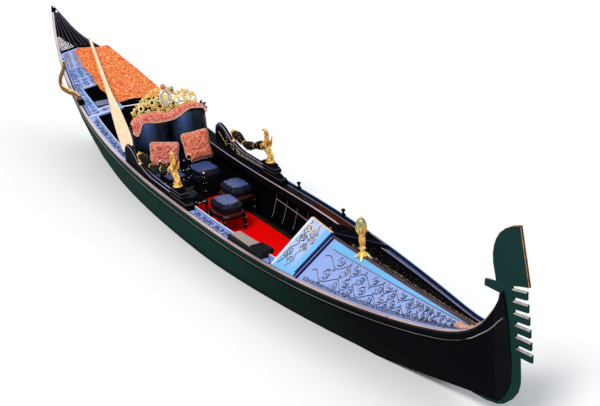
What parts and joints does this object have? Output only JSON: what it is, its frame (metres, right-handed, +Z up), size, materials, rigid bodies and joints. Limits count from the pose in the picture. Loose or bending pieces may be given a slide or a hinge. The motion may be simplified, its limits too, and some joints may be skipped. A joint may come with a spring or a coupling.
{
  "type": "gondola boat",
  "caption": "Long narrow rowing boat with upswept ends, decked bow and stern, toothed bow iron, open carpeted cockpit with upholstered seats, a carved rowlock and an oar.",
  "frame": {"origin": "on the lower face of the flat bottom, on the line from stem to stern post, amidships", "axes": "+X towards the bow, +Y to port, +Z up"},
  "size_m": [10.9335, 1.4065, 1.997],
  "materials": {
    "black_lacquer": "gloss black lacquer on wood",
    "green_black_lacquer": "gloss green-black hull paint",
    "pale_rail_paint": "worn pale paint",
    "sky_blue_lacquer": "engraved light blue paint",
    "cyan_lacquer": "bright blue paint",
    "brown_wood": "varnished",
    "green_steel": "dark green steel",
    "gilded": "gilt, polished",
    "red_carpet": "short pile",
    "brocade_rug": "woven brocade",
    "brocade": "woven brocade",
    "blue_black_leather": "smooth",
    "oar_wood": "oiled pale wood",
    "walnut": "oiled",
    "grey_mat": "coarse mat",
    "mahogany": "dark varnish"
  },
  "bodies": {
    "boat": {"backrest": "blue_black_leather", "boarding_step": "grey_mat", "bottom_planking": "green_black_lacquer", "bow_iron": "green_steel", "carpet": "red_carpet", "chair_frame": "black_lacquer", "chair_pad": "blue_black_leather", "cleat_aft": "black_lacquer", "cleat_fore": "black_lacquer", "crest": "gilded", "crest_frill": "brocade", "cushion_port": "brocade", "cushion_starboard": "brocade", "deck_ornament": "gilded", "floor_boards": "brown_wood", "forcola_block": "walnut", "fore_bulkhead": "black_lacquer", "fore_deck_port": "black_lacquer", "fore_deck_starboard": "sky_blue_lacquer", "fore_ridge": "brown_wood", "fore_step": "cyan_lacquer", "frames": "brown_wood", "garland_port": "black_lacquer", "garland_starboard": "black_lacquer", "gunwale_port": "pale_rail_paint", "gunwale_starboard": "pale_rail_paint", "parapet_port": "black_lacquer", "parapet_starboard": "black_lacquer", "pedestal_port": "black_lacquer", "pedestal_starboard": "black_lacquer", "rub_strake_port": "pale_rail_paint", "rub_strake_starboard": "pale_rail_paint", "seahorse_port": "gilded", "seahorse_starboard": "gilded", "seat_base": "black_lacquer", "seat_pad_port": "blue_black_leather", "seat_pad_starboard": "blue_black_leather", "side_deck_port": "black_lacquer", "side_deck_starboard": "sky_blue_lacquer", "side_planking_port": "green_black_lacquer", "side_planking_starboard": "green_black_lacquer", "stem_post": "black_lacquer", "stern_bulkhead": "black_lacquer", "stern_deck_port": "black_lacquer", "stern_deck_starboard": "sky_blue_lacquer", "stern_post": "black_lacquer", "stern_rug": "brocade_rug", "stern_top": "black_lacquer", "stern_well": "black_lacquer", "stool_centre_frame": "mahogany", "stool_centre_pad": "blue_black_leather", "stool_port_frame": "mahogany", "stool_port_pad": "blue_black_leather", "stringer_port": "pale_rail_paint", "stringer_starboard": "pale_rail_paint"},
    "forcola": {"forcola": "walnut"},
    "oar": {"oar": "oar_wood"}
  },
  "joints": [
    {"name": "forcola_lift", "type": "slide", "parent": "boat", "child": "forcola", "axis": [0, 0, 1], "range_m": [0, 0.3]},
    {"name": "oar_lift", "type": "slide", "parent": "boat", "child": "oar", "axis": [0, 0, 1], "range_m": [0, 0.4]}
  ]
}
